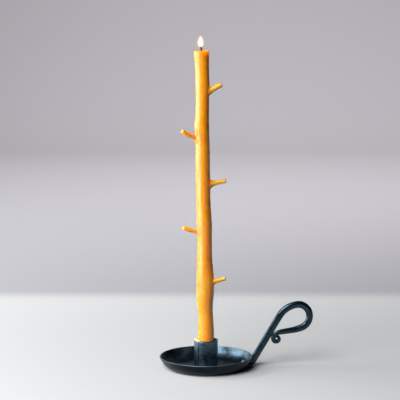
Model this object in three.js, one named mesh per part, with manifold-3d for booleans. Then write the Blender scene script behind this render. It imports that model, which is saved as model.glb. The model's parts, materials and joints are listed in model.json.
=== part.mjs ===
// A twig-shaped beeswax candle in a forged iron chamberstick.
// Millimetres, +Z up. The origin is on the cup's axis, in the plane that the pan rests on.
// The handle lies along +X. Bearings are degrees from the handle, anticlockwise from above.

import * as THREE from 'three';
import Module from 'manifold-3d';
import { mergeVertices } from 'three/addons/utils/BufferGeometryUtils.js';

const wasm = await Module();
wasm.setup();

// Clear space between pieces that fit into or round each other
const fitGap = 0.3;

// Drip pan, raised from sheet iron
const panRimRadius = 50;
const panHeight = 13.7;
const panSheet = 1.6;
const panBendRadius = 14;
const panFlareAngle = 60;

// Candle cup, rolled from one strip, with an open butt seam
const cupOutsideDiameter = 25.4;
const cupWall = 1.6;
const cupHeight = 29.2;
const cupEdge = 0.35;
const seamBearing = -139;
const seamGapAtFoot = 0.4;
const seamGapAtMouth = 1.1;

// Disc in the foot of the cup, and the rivet that holds it to the pan
const baseDiscThickness = 3;
const rivetShankDiameter = 5;
const rivetSinkDiameter = 9;
const rivetLand = 0.4;
const rivetHeadDiameter = 8.6;
const rivetHeadHeight = 1.5;

// Handle, forged from one round bar. The foot is beaten tall and narrow; the rest stays
// round, and is drawn out thinner towards the scroll.
const footTall = 8.2;
const footWide = 5.2;
const barAtHeel = 7.8;
const barAtRiseFoot = 5.5;
const barAtRise = 5.7;
const barAtLoop = 5.5;
const barAtTail = 4.7;
const barAtCurl = 4;
const barAtRing = 3.4;
const barAtEye = 2.4;
const barAtScrollEnd = 1.7;

// Handle: how the bar is bent, from the pan wall outwards
const footHeight = 5;
const footReach = 3;
const heelRadius = 4.5;
const heelAngle = 58.7;
const riseLength = 53.8;
const shoulderRadius = 25.7;
const shoulderAngle = 51.2;
const loopRadius = 13.15;
const loopAngle = 165.4;
const tailRadius = 39;
const tailAngle = 15.1;
const curlRadius = 11.8;
const curlAngle = 85;
const ringRadius = 3.6;
const ringAngle = 190;
const eyeRadius = 2.3;
const eyeAngle = 120;
const scrollEndRadius = 0.9;
const scrollClearance = 1.8;

// Handle: tenon through the pan wall, peened over inside
const tenonDiameter = 3.8;
const tenonHeadDiameter = 6.6;
const tenonHeadHeight = 1.3;

// Candle: the stem leans a little to one side, away from the handle
const leanBearing = 170;
const waxRoundFoot = 2.1;
const footChamfer = 0.8;
const footStraight = 12;
const lipRadius = 7.95;
const lipWidth = 1.1;
const lipCrown = 0.4;
const poolDepth = 1.5;

// Candle stem above the cup's mouth: height, lean of its middle, radius
const stemOutline = [
  [12, 0, 8.2],
  [21, 0.25, 7.85],
  [31, 0.7, 7.65],
  [39, 1, 8.1],
  [47, 1.05, 8.9],
  [59, 1.05, 8.8],
  [69, 1.15, 8.7],
  [80, 1.45, 8.1],
  [92, 1.5, 7.65],
  [107, 1.35, 7.4],
  [124, 1.85, 7.9],
  [131, 2.1, 7.85],
  [139, 2.4, 7.45],
  [150, 2.95, 7.4],
  [169, 3.25, 7.25],
  [193, 3.55, 7.4],
  [207, 3.55, 7.1],
  [225, 4.5, 7.5],
  [232, 4.4, 7.25],
  [252, 3.95, 6.8],
  [273, 3.85, 7.05],
  [291, 4.35, 7.15],
  [302, 4.75, 7.6],
];
const stemTop = 308.2;
const leanAtTop = 4.85;

// Side stubs. Height above the cup's mouth, reach from the stem's middle, rise in degrees.
// A stub turns by its kink that far out, where the knuckle is its thickness. The stem swells
// round its root.
const twigs = [
  {
    height: 265.3, bearing: -10, reach: 19.9, rise: 27.5, kinkAt: 13, kink: 0,
    root: 5.3, knuckle: 5.2, tip: 5, swell: 0.25, swellSpread: 7,
  },
  {
    height: 212.9, bearing: 194, reach: 23.6, rise: 35, kinkAt: 14.4, kink: -2,
    root: 4.7, knuckle: 4.9, tip: 4.3, swell: 0.5, swellSpread: 8,
  },
  {
    height: 167.5, bearing: -8, reach: 24.2, rise: 15, kinkAt: 14.5, kink: -10,
    root: 6.2, knuckle: 4.6, tip: 4.1, swell: 0.6, swellSpread: 7,
  },
  {
    height: 114.7, bearing: 184, reach: 23.4, rise: 18, kinkAt: 14, kink: 0,
    root: 5.2, knuckle: 5, tip: 4.5, swell: 0.35, swellSpread: 7,
  },
  {
    height: 62.7, bearing: -20, reach: 22.2, rise: 16, kinkAt: 15, kink: 0,
    root: 6, knuckle: 4.4, tip: 4, swell: 0.75, swellSpread: 12,
  },
];
const rootFlare = 1.5;
const rootFlareLength = 2.6;
const twigEndRound = 0.4;
const twigRootDepth = 3;
const stubStart = 7.3;

// Wick: braided cotton, burnt and bent at its tip
const wickDiameter = 1.7;
const wickStandsOut = 6.6;
const wickTipLean = 1.2;
const wickTipDiameter = 1;

// Wax that has set in the cup, and the crown of it on the mouth
const beddingBelowMouth = 5.5;
const beddingHollow = 0.8;
const crownBearing = 192;
const crownLumps = [
  { bearing: 160, out: 9.9, above: -0.5, wide: 2.8, long: 4.4, tall: 1.9 },
  { bearing: 184, out: 10.2, above: -0.1, wide: 3, long: 4.6, tall: 2.2 },
  { bearing: 206, out: 10.6, above: -0.4, wide: 3.1, long: 4.2, tall: 2.1 },
  { bearing: 226, out: 10.4, above: -0.8, wide: 3.2, long: 3.6, tall: 1.8 },
];
const dripLength = 4.6;
const dripWidth = 2.6;
const dripProud = 1.1;
const dripStart = 1;

// Facets
const panSides = 60;
const cupSides = 48;
const smallSides = 24;
const bendSteps = 6;
const rimSteps = 4;
const domeSteps = 4;
const barSides = 12;
const barBendStep = 11;
const barStraightSteps = 7;
const stemSides = 24;
const stemRings = 58;
const twigSides = 10;
const twigSteps = 10;
const wickSides = 8;
const wickRingStep = 3;
const wickTipSteps = 7;
const lumpSides = 12;
const weldDistance = 1e-4;

const radians = THREE.MathUtils.degToRad;
const panFloor = panSheet;
const cupMouth = panFloor + cupHeight;
const cupBoreRadius = cupOutsideDiameter / 2 - cupWall;
const baseDiscTop = panFloor + baseDiscThickness;
const candleFoot = baseDiscTop + rivetHeadHeight + fitGap;
const candleFootRadius = cupBoreRadius - waxRoundFoot - 2 * fitGap;

// Booleans

function solidOf(geometry) {
  const bare = geometry.clone();
  bare.deleteAttribute('normal');
  bare.deleteAttribute('uv');
  const merged = mergeVertices(bare, weldDistance);
  return new wasm.Manifold(new wasm.Mesh({
    numProp: 3,
    vertProperties: new Float32Array(merged.attributes.position.array),
    triVerts: new Uint32Array(merged.index.array),
  }));
}

function geometryOf(solid) {
  const mesh = solid.getMesh();
  const geometry = new THREE.BufferGeometry();
  geometry.setAttribute('position', new THREE.BufferAttribute(new Float32Array(mesh.vertProperties), 3));
  geometry.setIndex(new THREE.BufferAttribute(new Uint32Array(mesh.triVerts), 1));
  geometry.computeVertexNormals();
  return geometry;
}

// Shared shapes

// Turns a closed half section, radius and height, about the cup's axis.
function turned(section, sides) {
  const points = section.map(([radius, height]) => new THREE.Vector2(radius, height));
  const lathe = new THREE.LatheGeometry(points, sides);
  lathe.rotateX(Math.PI / 2);
  return lathe;
}

// Skins rings of equally many points, with a cap at each end or closed on itself.
function skinRings(rings, closesOnItself) {
  const sides = rings[0].length;
  const index = [];
  const bands = closesOnItself ? rings.length : rings.length - 1;
  for (let band = 0; band < bands; band++) {
    const from = band * sides;
    const to = ((band + 1) % rings.length) * sides;
    for (let side = 0; side < sides; side++) {
      const next = (side + 1) % sides;
      index.push(from + side, from + next, to + next);
      index.push(from + side, to + next, to + side);
    }
  }
  if (!closesOnItself) {
    const last = (rings.length - 1) * sides;
    for (let side = 1; side < sides - 1; side++) {
      index.push(0, side + 1, side);
      index.push(last, last + side, last + side + 1);
    }
  }
  const geometry = new THREE.BufferGeometry().setFromPoints(rings.flat());
  geometry.setIndex(index);
  geometry.computeVertexNormals();
  return geometry;
}

// A round bar whose middle line lies in the XZ plane. Each station holds the place of the
// middle line, its heading in radians above +X, and the bar's thickness there, with its
// width across the plane where that is different.
function sweptBar(stations, sides) {
  const rings = stations.map(({ x, z, heading, thickness, width = thickness }) => {
    const ring = [];
    for (let side = 0; side < sides; side++) {
      const turn = (side / sides) * 2 * Math.PI;
      const inPlane = (Math.cos(turn) * thickness) / 2;
      const across = (Math.sin(turn) * width) / 2;
      ring.push(new THREE.Vector3(
        x - Math.sin(heading) * inPlane,
        -across,
        z + Math.cos(heading) * inPlane,
      ));
    }
    return ring;
  });
  return skinRings(rings, false);
}

// Follows a bar bent stroke by stroke. A stroke is straight, with a length, or bent, with an
// angle and a radius that may change along it. Thickness and width run evenly to its own.
function bentBar(start, strokes) {
  const stations = [start];
  for (const stroke of strokes) {
    const turn = radians(stroke.angle ?? 0);
    const steps = turn === 0 ? barStraightSteps : bendStepsOf(stroke.angle);
    const before = stations[stations.length - 1];
    const { radius = 0, endRadius = radius, thickness, width = thickness } = stroke;
    for (let step = 1; step <= steps; step++) {
      const { x, z, heading } = stations[stations.length - 1];
      const bend = THREE.MathUtils.lerp(radius, endRadius, (step - 0.5) / steps);
      const run = turn === 0
        ? stroke.length / steps
        : 2 * bend * Math.sin(Math.abs(turn) / steps / 2);
      const towards = heading + turn / steps / 2;
      stations.push({
        x: x + run * Math.cos(towards),
        z: z + run * Math.sin(towards),
        heading: heading + turn / steps,
        thickness: THREE.MathUtils.lerp(before.thickness, thickness, step / steps),
        width: THREE.MathUtils.lerp(before.width, width, step / steps),
      });
    }
  }
  return stations;
}

function bendStepsOf(angle) {
  return Math.max(2, Math.ceil(Math.abs(angle) / barBendStep));
}

// Drip pan

// Line of the bowl's section from the floor to the rim, at a depth in from its outside.
function bowlLine(depth) {
  const flare = radians(panFlareAngle);
  const middleBend = panBendRadius - panSheet / 2;
  const middleRimRadius = panRimRadius - panSheet / 2;
  const middleRimHeight = panHeight - panSheet / 2;
  const flareRise = middleRimHeight - panSheet / 2 - middleBend * (1 - Math.cos(flare));
  const floorRadius = middleRimRadius - middleBend * Math.sin(flare) - flareRise / Math.tan(flare);
  const bend = panBendRadius - depth;
  const line = [];
  for (let step = 0; step <= bendSteps; step++) {
    const angle = (step / bendSteps) * flare;
    line.push([floorRadius + bend * Math.sin(angle), panBendRadius - bend * Math.cos(angle)]);
  }
  const offMiddle = panSheet / 2 - depth;
  line.push([
    middleRimRadius + offMiddle * Math.sin(flare),
    middleRimHeight - offMiddle * Math.cos(flare),
  ]);
  return line;
}

// Radius of the bowl's outside at a height, on the bend or on the flare above it.
function bowlOutsideAt(height) {
  const line = bowlLine(0);
  for (let at = 1; at < line.length; at++) {
    const [radiusBelow, heightBelow] = line[at - 1];
    const [radiusAbove, heightAbove] = line[at];
    if (height <= heightAbove) {
      const share = (height - heightBelow) / (heightAbove - heightBelow);
      return THREE.MathUtils.lerp(radiusBelow, radiusAbove, share);
    }
  }
  return panRimRadius;
}

// Everything inside a line of the bowl, up past the rim.
function bowlFilled(depth) {
  const line = bowlLine(depth);
  const [rimRadius] = line[line.length - 1];
  return solidOf(turned([
    [0, depth],
    ...line,
    [rimRadius, 2 * panHeight],
    [0, 2 * panHeight],
  ], panSides));
}

function roundedRim() {
  const rim = [];
  const outside = radians(panFlareAngle - 90);
  for (let step = 1; step < rimSteps; step++) {
    const angle = outside + (step / rimSteps) * Math.PI;
    rim.push([
      panRimRadius - panSheet / 2 + (panSheet / 2) * Math.cos(angle),
      panHeight - panSheet / 2 + (panSheet / 2) * Math.sin(angle),
    ]);
  }
  return rim;
}

function tenonBar(diameter, from, to) {
  const bar = new THREE.CylinderGeometry(diameter / 2, diameter / 2, to - from, smallSides);
  bar.rotateZ(Math.PI / 2);
  bar.translate((from + to) / 2, 0, footHeight);
  return solidOf(bar);
}

function dripPan() {
  const holeRadius = rivetShankDiameter / 2 + fitGap;
  const section = [
    [rivetSinkDiameter / 2 + fitGap, 0],
    ...bowlLine(0),
    ...roundedRim(),
    ...bowlLine(panSheet).reverse(),
    [holeRadius, panFloor],
    [holeRadius, panSheet - rivetLand],
    [rivetSinkDiameter / 2 + fitGap, 0],
  ];
  const tenonHole = tenonBar(tenonDiameter + 2 * fitGap, panRimRadius / 2, panRimRadius + panBendRadius);
  return geometryOf(solidOf(turned(section, panSides)).subtract(tenonHole));
}

// Candle cup

// Wall of the cup, thicker by a growth on every side.
function cupRing(growth) {
  const outside = cupOutsideDiameter / 2 + growth;
  const inside = cupBoreRadius - growth;
  const top = cupMouth + growth;
  return solidOf(turned([
    [inside, panFloor],
    [outside, panFloor],
    [outside, top - cupEdge],
    [outside - cupEdge, top],
    [inside + cupEdge, top],
    [inside, top - cupEdge],
    [inside, panFloor],
  ], cupSides));
}

function seamWedge() {
  const reach = cupOutsideDiameter;
  const wedge = new THREE.Shape();
  wedge.moveTo(-seamGapAtFoot / 2, panFloor - cupEdge);
  wedge.lineTo(seamGapAtFoot / 2, panFloor - cupEdge);
  wedge.lineTo(seamGapAtMouth / 2, cupMouth + cupEdge);
  wedge.lineTo(-seamGapAtMouth / 2, cupMouth + cupEdge);
  wedge.closePath();
  const slab = new THREE.ExtrudeGeometry(wedge, { depth: reach, bevelEnabled: false });
  slab.rotateX(Math.PI / 2);
  slab.rotateZ(radians(seamBearing + 90));
  return solidOf(slab);
}

function socketTube() {
  return geometryOf(cupRing(0).subtract(seamWedge()));
}

function socketBase() {
  const outside = cupBoreRadius - fitGap;
  const inside = rivetShankDiameter / 2 + fitGap;
  return turned([
    [inside, panFloor],
    [outside, panFloor],
    [outside, baseDiscTop],
    [inside, baseDiscTop],
    [inside, panFloor],
  ], cupSides);
}

function socketRivet() {
  const shank = rivetShankDiameter / 2;
  const section = [
    [0, 0],
    [rivetSinkDiameter / 2, 0],
    [shank, panSheet - rivetLand],
    [shank, baseDiscTop],
  ];
  for (let step = 0; step < domeSteps; step++) {
    const angle = (step / domeSteps) * (Math.PI / 2);
    section.push([
      (rivetHeadDiameter / 2) * Math.cos(angle),
      baseDiscTop + rivetHeadHeight * Math.sin(angle),
    ]);
  }
  return turned([...section, [0, baseDiscTop + rivetHeadHeight]], smallSides);
}

// Handle

// Strokes of the bar from its foot to the scroll's end, for a length of straight tail.
function handleStrokes(tailRun) {
  return [
    { length: footTall + footReach, thickness: footTall, width: footWide },
    { angle: heelAngle / 2, radius: heelRadius, thickness: barAtHeel, width: footWide },
    { angle: heelAngle / 2, radius: heelRadius, thickness: barAtRiseFoot },
    { length: riseLength, thickness: barAtRise },
    { angle: -shoulderAngle, radius: shoulderRadius, thickness: barAtLoop },
    { angle: -loopAngle, radius: loopRadius, thickness: barAtLoop },
    { angle: -tailAngle, radius: tailRadius, thickness: barAtTail },
    { length: tailRun, thickness: barAtCurl },
    { angle: curlAngle, radius: curlRadius, endRadius: ringRadius, thickness: barAtRing },
    { angle: ringAngle, radius: ringRadius, endRadius: eyeRadius, thickness: barAtEye },
    { angle: eyeAngle, radius: eyeRadius, endRadius: scrollEndRadius, thickness: barAtScrollEnd },
  ];
}

// Least distance from the outside of the scroll to the outside of the rise.
function scrollToRise(stations) {
  const heel = radians(heelAngle);
  const onRise = stations[barStraightSteps + 2 * bendStepsOf(heelAngle / 2)];
  const scrollSteps = bendStepsOf(curlAngle) + bendStepsOf(ringAngle) + bendStepsOf(eyeAngle);
  const scroll = stations.slice(-scrollSteps);
  return Math.min(...scroll.map(({ x, z, thickness }) => {
    const off = (x - onRise.x) * Math.sin(heel) - (z - onRise.z) * Math.cos(heel);
    return off - thickness / 2 - barAtRise / 2;
  }));
}

// The tail runs back until the scroll all but touches the rise.
function handleStations() {
  const start = {
    x: bowlOutsideAt(footHeight) - footTall,
    z: footHeight,
    heading: 0,
    thickness: footTall,
    width: footWide,
  };
  const shortTail = 1;
  const tailHeading = radians(heelAngle - shoulderAngle - loopAngle - tailAngle);
  const approach = -Math.sin(radians(heelAngle) - tailHeading);
  const spare = scrollToRise(bentBar(start, handleStrokes(shortTail))) - scrollClearance;
  return bentBar(start, handleStrokes(shortTail + spare / approach));
}

function peenedHead() {
  const seat = bowlOutsideAt(footHeight) - panSheet / Math.sin(radians(panFlareAngle));
  const dome = new THREE.SphereGeometry(1, smallSides, smallSides / 2);
  dome.scale(tenonHeadHeight + fitGap, tenonHeadDiameter / 2, tenonHeadDiameter / 2);
  dome.rotateY(radians(90 - panFlareAngle));
  dome.translate(seat, 0, footHeight);
  return solidOf(dome).intersect(bowlFilled(panSheet + fitGap));
}

function handle() {
  const wallAt = bowlOutsideAt(footHeight);
  const bar = solidOf(sweptBar(handleStations(), barSides)).subtract(bowlFilled(-fitGap));
  const tenon = tenonBar(tenonDiameter, wallAt - panBendRadius / 2, wallAt + footReach)
    .subtract(bowlFilled(panSheet + tenonHeadHeight / 2));
  return geometryOf(bar.add(tenon).add(peenedHead()));
}

// Candle

const stemLine = new THREE.CatmullRomCurve3(
  [[0, 0, candleFootRadius], ...stemOutline, [stemTop, leanAtTop, lipRadius]]
    .map(([height, lean, radius]) => new THREE.Vector3(height, lean, radius)),
  false,
  'centripetal',
);

const stemStations = stemLine.getSpacedPoints(stemRings);

// Middle of the stem at a height above the mouth, in the plane of its lean.
function stemLeanAt(height) {
  const above = stemStations.findIndex((station) => station.x >= height);
  if (above <= 0) {
    return above < 0 ? leanAtTop : 0;
  }
  const before = stemStations[above - 1];
  const share = (height - before.x) / (stemStations[above].x - before.x);
  return THREE.MathUtils.lerp(before.y, stemStations[above].y, share);
}

// How far the stem swells out below a bearing and round a stub's root.
function swellAt(height, bearing) {
  return twigs.reduce((sum, twig) => {
    const turn = bearing - radians(twig.bearing);
    const off = Math.atan2(Math.sin(turn), Math.cos(turn));
    const up = (height - twig.height) / twig.swellSpread;
    return sum + twig.swell * Math.exp(-up * up) * Math.exp(-off * off);
  }, 0);
}

// A level ring round the stem's middle; the radius may change with the bearing.
function levelRing(height, lean, radiusAt) {
  const toLean = radians(leanBearing);
  const ring = [];
  for (let side = 0; side < stemSides; side++) {
    const bearing = (side / stemSides) * 2 * Math.PI;
    const radius = radiusAt(bearing);
    ring.push(new THREE.Vector3(
      lean * Math.cos(toLean) + radius * Math.cos(bearing),
      lean * Math.sin(toLean) + radius * Math.sin(bearing),
      height,
    ));
  }
  return ring;
}

// The stem's outside, from the foot in the cup to the lip round the pool of melted wax.
function stemSkin() {
  const rings = [
    levelRing(candleFoot, 0, () => candleFootRadius - footChamfer),
    levelRing(candleFoot + footChamfer, 0, () => candleFootRadius),
  ];
  for (const { x: height, y: lean, z: radius } of stemStations) {
    const bare = Math.min(1, height / footStraight);
    rings.push(levelRing(cupMouth + height, lean, (bearing) => radius + bare * swellAt(height, bearing)));
  }
  const top = cupMouth + stemTop;
  const poolRadius = lipRadius - lipWidth;
  const topLine = [
    [lipRadius - lipWidth / 3, lipCrown],
    [poolRadius + lipWidth / 3, lipCrown],
    [poolRadius, -poolDepth / 3],
    [(poolRadius * 3) / 4, (-poolDepth * 3) / 4],
    [poolRadius / 2, -poolDepth],
  ];
  for (const [radius, height] of topLine) {
    rings.push(levelRing(top + height, leanAtTop, () => radius));
  }
  return skinRings(rings, false);
}

// Stations of the wick up the stem's middle line, to a height above the pool's floor.
function wickLine(thickness, from, standsOut) {
  const station = (lean, height) => ({ x: lean, z: height, heading: Math.PI / 2, thickness });
  const inStem = stemStations.filter(({ x: height }, at) => (
    at % wickRingStep === 0 && height < stemTop - 2 * poolDepth
  ));
  return [
    station(0, from),
    ...inStem.map(({ x: height, y: lean }) => station(lean, cupMouth + height)),
    station(leanAtTop, cupMouth + stemTop - poolDepth + standsOut),
  ];
}

function wickBore() {
  const bore = sweptBar(wickLine(wickDiameter + 2 * fitGap, candleFoot - poolDepth, poolDepth), wickSides);
  bore.rotateZ(radians(leanBearing));
  return solidOf(bore);
}

// A stub grows out of the stem in one upright plane: flared root, knuckle, square-cut end.
function twigStub(twig) {
  const start = { out: twigRootDepth, up: (twigRootDepth - twig.kinkAt) * Math.tan(radians(twig.rise)) };
  const end = {
    out: twig.reach,
    up: (twig.reach - twig.kinkAt) * Math.tan(radians(twig.rise + twig.kink)),
  };
  const bend = new THREE.QuadraticBezierCurve(
    new THREE.Vector2(start.out, start.up),
    new THREE.Vector2(twig.kinkAt, 0),
    new THREE.Vector2(end.out, end.up),
  );
  const lift = (twig.kinkAt - stubStart) * Math.tan(radians(twig.rise));
  const length = bend.getLength();
  const endShare = 1 - twigEndRound / length;
  const shares = [];
  for (let step = 0; step <= twigSteps; step++) {
    shares.push((step / twigSteps) * endShare);
  }
  const stations = [...shares, 1].map((share) => {
    const place = bend.getPointAt(share);
    const heading = bend.getTangentAt(share);
    const beyondRoot = Math.max(0, place.x - stubStart);
    const flare = rootFlare * Math.exp(-beyondRoot / rootFlareLength);
    const knuckleShare = Math.min(1, beyondRoot / (twig.kinkAt - stubStart));
    const tipShare = Math.max(0, (place.x - twig.kinkAt) / (twig.reach - twig.kinkAt));
    const plain = tipShare > 0
      ? THREE.MathUtils.lerp(twig.knuckle, twig.tip, Math.sqrt(tipShare))
      : THREE.MathUtils.lerp(twig.root, twig.knuckle, knuckleShare);
    return {
      x: place.x,
      z: place.y,
      heading: Math.atan2(heading.y, heading.x),
      thickness: plain + 2 * flare - (share === 1 ? 2 * twigEndRound : 0),
    };
  });
  const stub = sweptBar(stations, twigSides);
  stub.rotateZ(radians(twig.bearing));
  const lean = stemLeanAt(twig.height);
  stub.translate(
    lean * Math.cos(radians(leanBearing)),
    lean * Math.sin(radians(leanBearing)),
    cupMouth + twig.height + lift,
  );
  return solidOf(stub);
}

function candleStem() {
  const wax = twigs.reduce((stem, twig) => stem.add(twigStub(twig)), solidOf(stemSkin()));
  return geometryOf(wax.subtract(wickBore()));
}

// The wick keeps to the stem's middle line, then leans over at its burnt tip.
function wick() {
  const top = cupMouth + stemTop - poolDepth;
  const stations = wickLine(wickDiameter, candleFoot, 0);
  const tip = new THREE.CubicBezierCurve(
    new THREE.Vector2(leanAtTop, top),
    new THREE.Vector2(leanAtTop - wickTipLean / 2, top + wickStandsOut / 3),
    new THREE.Vector2(leanAtTop - wickTipLean / 2, top + (wickStandsOut * 2) / 3),
    new THREE.Vector2(leanAtTop + wickTipLean, top + wickStandsOut),
  );
  for (let step = 1; step <= wickTipSteps; step++) {
    const share = step / wickTipSteps;
    const place = tip.getPoint(share);
    const heading = tip.getTangent(share);
    stations.push({
      x: place.x,
      z: place.y,
      heading: Math.atan2(heading.y, heading.x),
      thickness: THREE.MathUtils.lerp(wickDiameter, wickTipDiameter, share * share),
    });
  }
  const bar = sweptBar(stations, wickSides);
  bar.rotateZ(radians(leanBearing));
  return bar;
}

// Wax in the cup

function waxLump({ bearing, out, above, wide, long, tall }) {
  const lump = new THREE.SphereGeometry(1, lumpSides, lumpSides / 2);
  lump.rotateX(Math.PI / 2);
  lump.scale(wide, long, tall);
  lump.translate(out, 0, cupMouth + above);
  lump.rotateZ(radians(bearing));
  return solidOf(lump);
}

function waxDrip() {
  return waxLump({
    bearing: seamBearing,
    out: cupOutsideDiameter / 2 + fitGap,
    above: (dripStart - dripLength) / 2,
    wide: dripProud,
    long: dripWidth / 2,
    tall: (dripStart + dripLength) / 2,
  });
}

function footHole() {
  const radius = candleFootRadius + fitGap;
  const hole = new THREE.CylinderGeometry(radius, radius, cupHeight * 2, stemSides);
  hole.rotateX(Math.PI / 2);
  hole.translate(0, 0, cupMouth);
  return solidOf(hole);
}

// Wax round the candle's foot. Its top banks up from the bare side of the cup to the crown.
function waxRing() {
  const outside = cupBoreRadius - fitGap;
  const inside = candleFootRadius - fitGap;
  const slices = [];
  for (let slice = 0; slice < cupSides; slice++) {
    const bearing = (slice / cupSides) * 2 * Math.PI;
    const bank = (1 - Math.cos(bearing - radians(crownBearing))) / 2;
    const level = cupMouth - beddingBelowMouth * bank;
    slices.push([
      [inside, level],
      [(inside + outside) / 2, level - beddingHollow * bank],
      [outside, level],
      [outside, baseDiscTop],
      [inside, baseDiscTop],
    ].map(([radius, height]) => (
      new THREE.Vector3(radius * Math.cos(bearing), radius * Math.sin(bearing), height)
    )));
  }
  return solidOf(skinRings(slices, true));
}

function waxBedding() {
  const wax = crownLumps.reduce((sum, lump) => sum.add(waxLump(lump)), waxRing().add(waxDrip()));
  return geometryOf(wax.subtract(cupRing(fitGap)).subtract(footHole()));
}

// Finishes

function finish(color, roughness, metalness) {
  return new THREE.MeshStandardMaterial({ color, roughness, metalness });
}

const blackIron = () => finish(0x1b2024, 0.45, 0.7);
const beeswax = () => finish(0xe59a2c, 0.5, 0);
const setWax = () => finish(0xe9c683, 0.55, 0);
const burntCotton = () => finish(0x3b2a1e, 0.95, 0);

function piece(name, geometry, material) {
  const mesh = new THREE.Mesh(geometry, material);
  mesh.name = name;
  return mesh;
}

// Assembly

const chamberstick = new THREE.Group();
chamberstick.add(
  piece('drip_pan', dripPan(), blackIron()),
  piece('socket_tube', socketTube(), blackIron()),
  piece('socket_base', socketBase(), blackIron()),
  piece('socket_rivet', socketRivet(), blackIron()),
  piece('handle', handle(), blackIron()),
  piece('wax_bedding', waxBedding(), setWax()),
);

const candle = new THREE.Group();
candle.add(
  piece('candle_stem', candleStem(), beeswax()),
  piece('wick', wick(), burntCotton()),
);

const candleInChamberstick = new THREE.Group();
candleInChamberstick.add(chamberstick, candle);

export default candleInChamberstick;
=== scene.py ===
# Dresses the twig candle and its forged iron chamberstick.
# Metres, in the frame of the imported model: handle along +X, cup's axis up Z.

import json
import math

import bmesh
import bpy
from mathutils import Matrix, Vector, noise

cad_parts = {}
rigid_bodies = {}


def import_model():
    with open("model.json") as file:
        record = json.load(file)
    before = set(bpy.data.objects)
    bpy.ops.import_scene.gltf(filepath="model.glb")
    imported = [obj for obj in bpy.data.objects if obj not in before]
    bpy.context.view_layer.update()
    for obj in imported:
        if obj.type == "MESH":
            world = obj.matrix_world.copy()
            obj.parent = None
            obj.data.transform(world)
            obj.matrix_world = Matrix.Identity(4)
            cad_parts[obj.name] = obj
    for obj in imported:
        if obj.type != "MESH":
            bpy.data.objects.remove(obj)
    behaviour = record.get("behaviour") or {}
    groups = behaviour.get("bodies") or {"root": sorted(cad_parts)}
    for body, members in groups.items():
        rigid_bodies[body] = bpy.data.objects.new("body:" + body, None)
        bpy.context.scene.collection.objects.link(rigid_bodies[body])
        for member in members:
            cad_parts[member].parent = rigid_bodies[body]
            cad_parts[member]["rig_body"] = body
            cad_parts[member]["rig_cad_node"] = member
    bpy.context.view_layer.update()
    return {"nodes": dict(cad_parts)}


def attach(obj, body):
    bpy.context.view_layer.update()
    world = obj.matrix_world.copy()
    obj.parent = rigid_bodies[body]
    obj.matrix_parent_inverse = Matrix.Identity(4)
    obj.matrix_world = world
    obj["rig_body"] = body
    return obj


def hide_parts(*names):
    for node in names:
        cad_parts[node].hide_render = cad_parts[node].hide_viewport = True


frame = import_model()
mm = 0.001


# Small helpers

def pickOnly(piece):
    if bpy.context.object and bpy.context.object.mode == "EDIT":
        bpy.ops.object.mode_set(mode="OBJECT")
    bpy.ops.object.select_all(action="DESELECT")
    piece.select_set(True)
    bpy.context.view_layer.objects.active = piece


def named(name):
    piece = bpy.context.object
    piece.name = name
    piece.data.name = name
    return piece


def placeInMesh(piece):
    pickOnly(piece)
    bpy.ops.object.transform_apply(location=True, rotation=True, scale=True)


def refine(piece, kind, **settings):
    pickOnly(piece)
    modifier = piece.modifiers.new(kind.title(), kind)
    for name, value in settings.items():
        setattr(modifier, name, value)
    bpy.ops.object.modifier_apply(modifier=modifier.name)


def roughen(piece, grain, depth):
    texture = bpy.data.textures.new(piece.name + "Relief", "CLOUDS")
    texture.noise_scale = grain
    refine(piece, "DISPLACE", texture=texture, strength=depth, mid_level=0.5, texture_coords="LOCAL")
    bpy.data.textures.remove(texture)


def roundEdges(piece, width, segments):
    refine(
        piece, "BEVEL", width=width, segments=segments,
        limit_method="ANGLE", angle_limit=math.radians(60))


def smoothBy(piece, angle=35):
    pickOnly(piece)
    bpy.ops.object.shade_smooth_by_angle(angle=math.radians(angle))


def faceOutwards(piece):
    pickOnly(piece)
    bpy.ops.object.mode_set(mode="EDIT")
    bpy.ops.mesh.select_all(action="SELECT")
    bpy.ops.mesh.remove_doubles(threshold=1e-6)
    bpy.ops.mesh.normals_make_consistent(inside=False)
    bpy.ops.object.mode_set(mode="OBJECT")


def mergedCopyOf(node, name):
    original = frame["nodes"][node]
    piece = original.copy()
    piece.data = original.data.copy()
    bpy.context.scene.collection.objects.link(piece)
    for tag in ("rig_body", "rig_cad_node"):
        del piece[tag]
    piece.parent = None
    piece.name = piece.data.name = name
    pickOnly(piece)
    bpy.ops.object.mode_set(mode="EDIT")
    bpy.ops.mesh.select_all(action="SELECT")
    bpy.ops.mesh.remove_doubles(threshold=1e-6)
    bpy.ops.object.mode_set(mode="OBJECT")
    return piece


def moveVertices(piece, shift):
    # shift takes a place in mm and a normal, and gives a move in mm
    vertices = piece.data.vertices
    moved = [vertex.co + shift(vertex.co / mm, vertex.normal) * mm for vertex in vertices]
    for vertex, place in zip(vertices, moved):
        vertex.co = place
    piece.data.update()


def bearing(degrees, out=1, height=0):
    turn = math.radians(degrees)
    return Vector((out * math.cos(turn), out * math.sin(turn), height))


def facesBearing(place, degrees, within):
    return place.xy.normalized().dot(bearing(degrees).xy) > math.cos(math.radians(within))


def blendIn(value, start, end):
    share = min(1, max(0, (value - start) / (end - start)))
    return share * share * (3 - 2 * share)


# Camera, lamps, floor

view = {
    "place": Vector((-351.4, -1955.7, 475.9)) * mm,
    "turn": 10,         # degrees to the right of straight ahead
    "pitch": 8.435,     # degrees down
    "lens": 171.18,
    "sensor": 36,
}

bpy.ops.object.camera_add(
    location=view["place"],
    rotation=(math.radians(90 - view["pitch"]), 0, math.radians(-view["turn"])),
)
camera = bpy.context.object
camera.name = "photoCamera"
camera.data.lens = view["lens"]
camera.data.sensor_width = view["sensor"]
camera.data.clip_end = 50
bpy.context.scene.camera = camera
bpy.context.scene.view_settings.view_transform = "Standard"

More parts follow.
